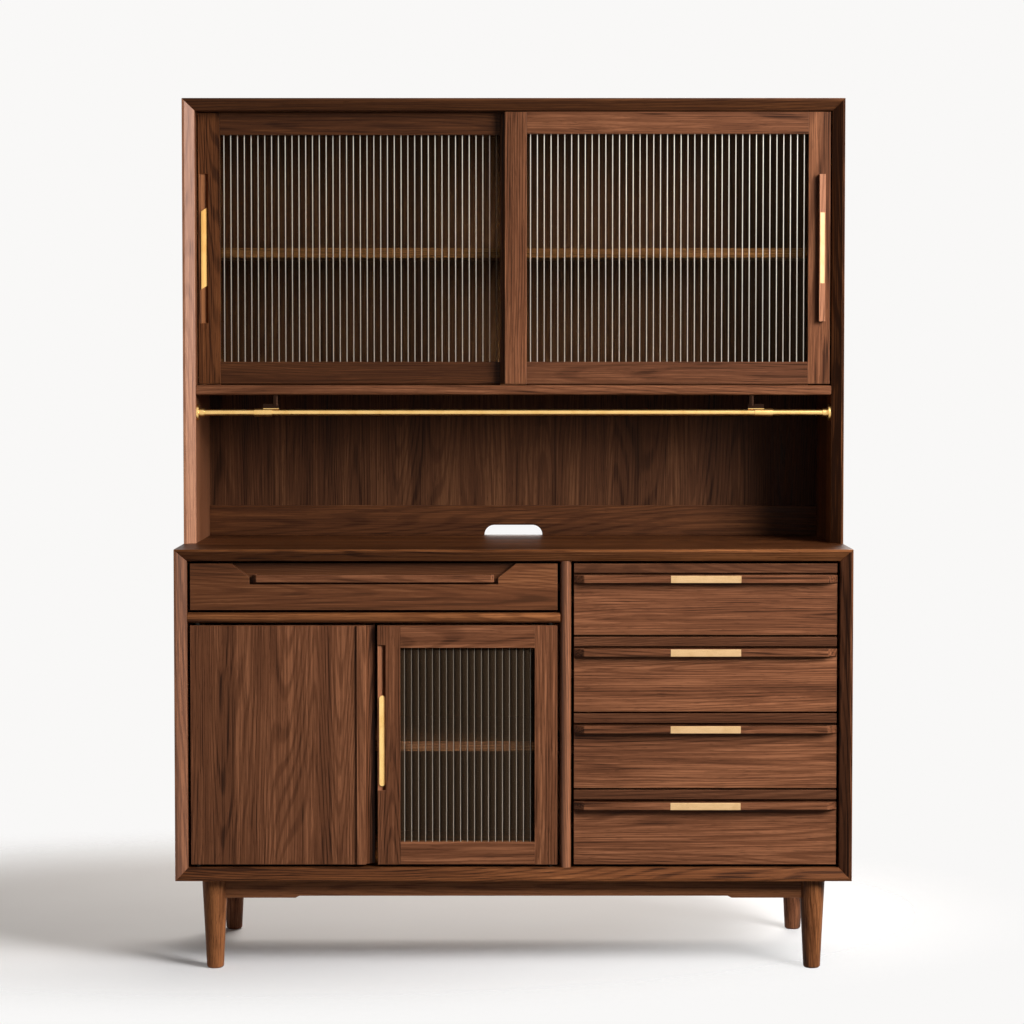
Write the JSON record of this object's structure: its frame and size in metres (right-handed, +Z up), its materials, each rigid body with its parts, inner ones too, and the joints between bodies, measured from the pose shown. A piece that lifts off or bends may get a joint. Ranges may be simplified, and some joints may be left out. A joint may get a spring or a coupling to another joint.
{
  "type": "kitchen dresser",
  "caption": "Walnut kitchen dresser: base with hinged doors and drawers on turned legs, hutch with sliding fluted-glass doors over an open niche with a brass rail.",
  "frame": {"origin": "middle of the floor under the dresser", "axes": "+Z up, +X to the viewer's right, the front faces -Y"},
  "size_m": [1.35, 0.45, 1.753],
  "materials": {
    "walnut": "satin lacquer",
    "inner_wood": "matt oil",
    "brass": "brushed",
    "fluted_glass": "fluted",
    "steel": "blackened"
  },
  "bodies": {
    "cabinet": {"apron_front": "walnut", "apron_rear": "walnut", "apron_sides": "walnut", "base_back_panel": "inner_wood", "base_bottom_panel": "walnut", "base_divider": "walnut", "base_shelf": "walnut", "base_side_left": "walnut", "base_side_right": "walnut", "base_top_panel": "walnut", "door_pivot_pins": "steel", "drawer_deck": "walnut", "drawer_runners": "inner_wood", "front_legs": "walnut", "hutch_back_panel": "inner_wood", "hutch_bottom_panel": "walnut", "hutch_shelf": "walnut", "hutch_side_left": "walnut", "hutch_side_right": "walnut", "hutch_top_panel": "walnut", "hutch_upstand": "walnut", "rail_end_flanges": "brass", "rail_hangers": "brass", "rail_rod": "brass", "rear_legs": "walnut", "shelf_pins": "steel"},
    "left_sliding_door": {"left_sliding_glass": "fluted_glass", "left_sliding_inlay": "brass", "left_sliding_rails": "walnut", "left_sliding_stiles": "walnut"},
    "right_sliding_door": {"right_sliding_glass": "fluted_glass", "right_sliding_inlay": "brass", "right_sliding_pull": "walnut", "right_sliding_rails": "walnut", "right_sliding_stiles": "walnut"},
    "solid_door": {"solid_door_grip_stile": "walnut", "solid_door_panel": "walnut"},
    "glass_door": {"glass_door_pane": "fluted_glass", "glass_door_pull": "brass", "glass_door_rails": "walnut", "glass_door_stiles": "walnut"},
    "wide_drawer": {"wide_drawer_box": "inner_wood", "wide_drawer_front": "walnut", "wide_drawer_handle": "walnut"},
    "drawer_1": {"drawer_1_box": "inner_wood", "drawer_1_front": "walnut", "drawer_1_handle": "walnut", "drawer_1_inlay": "brass"},
    "drawer_2": {"drawer_2_box": "inner_wood", "drawer_2_front": "walnut", "drawer_2_handle": "walnut", "drawer_2_inlay": "brass"},
    "drawer_3": {"drawer_3_box": "inner_wood", "drawer_3_front": "walnut", "drawer_3_handle": "walnut", "drawer_3_inlay": "brass"},
    "drawer_4": {"drawer_4_box": "inner_wood", "drawer_4_front": "walnut", "drawer_4_handle": "walnut", "drawer_4_inlay": "brass"}
  },
  "joints": [
    {"name": "left_sliding_door_slide", "type": "slide", "parent": "cabinet", "child": "left_sliding_door", "axis": [1, 0, 0], "range_m": [0, 0.63]},
    {"name": "right_sliding_door_slide", "type": "slide", "parent": "cabinet", "child": "right_sliding_door", "axis": [-1, 0, 0], "range_m": [0, 0.63]},
    {"name": "solid_door_hinge", "type": "hinge", "parent": "cabinet", "child": "solid_door", "pos_m": [-0.6315, -0.193, 0.45], "axis": [0, 0, -1], "range_deg": [0, 90]},
    {"name": "glass_door_hinge", "type": "hinge", "parent": "cabinet", "child": "glass_door", "pos_m": [0.0735, -0.193, 0.45], "axis": [0, 0, 1], "range_deg": [0, 90]},
    {"name": "wide_drawer_slide", "type": "slide", "parent": "cabinet", "child": "wide_drawer", "axis": [0, -1, 0], "range_m": [0, 0.3]},
    {"name": "drawer_1_slide", "type": "slide", "parent": "cabinet", "child": "drawer_1", "axis": [0, -1, 0], "range_m": [0, 0.3]},
    {"name": "drawer_2_slide", "type": "slide", "parent": "cabinet", "child": "drawer_2", "axis": [0, -1, 0], "range_m": [0, 0.3]},
    {"name": "drawer_3_slide", "type": "slide", "parent": "cabinet", "child": "drawer_3", "axis": [0, -1, 0], "range_m": [0, 0.3]},
    {"name": "drawer_4_slide", "type": "slide", "parent": "cabinet", "child": "drawer_4", "axis": [0, -1, 0], "range_m": [0, 0.3]}
  ]
}
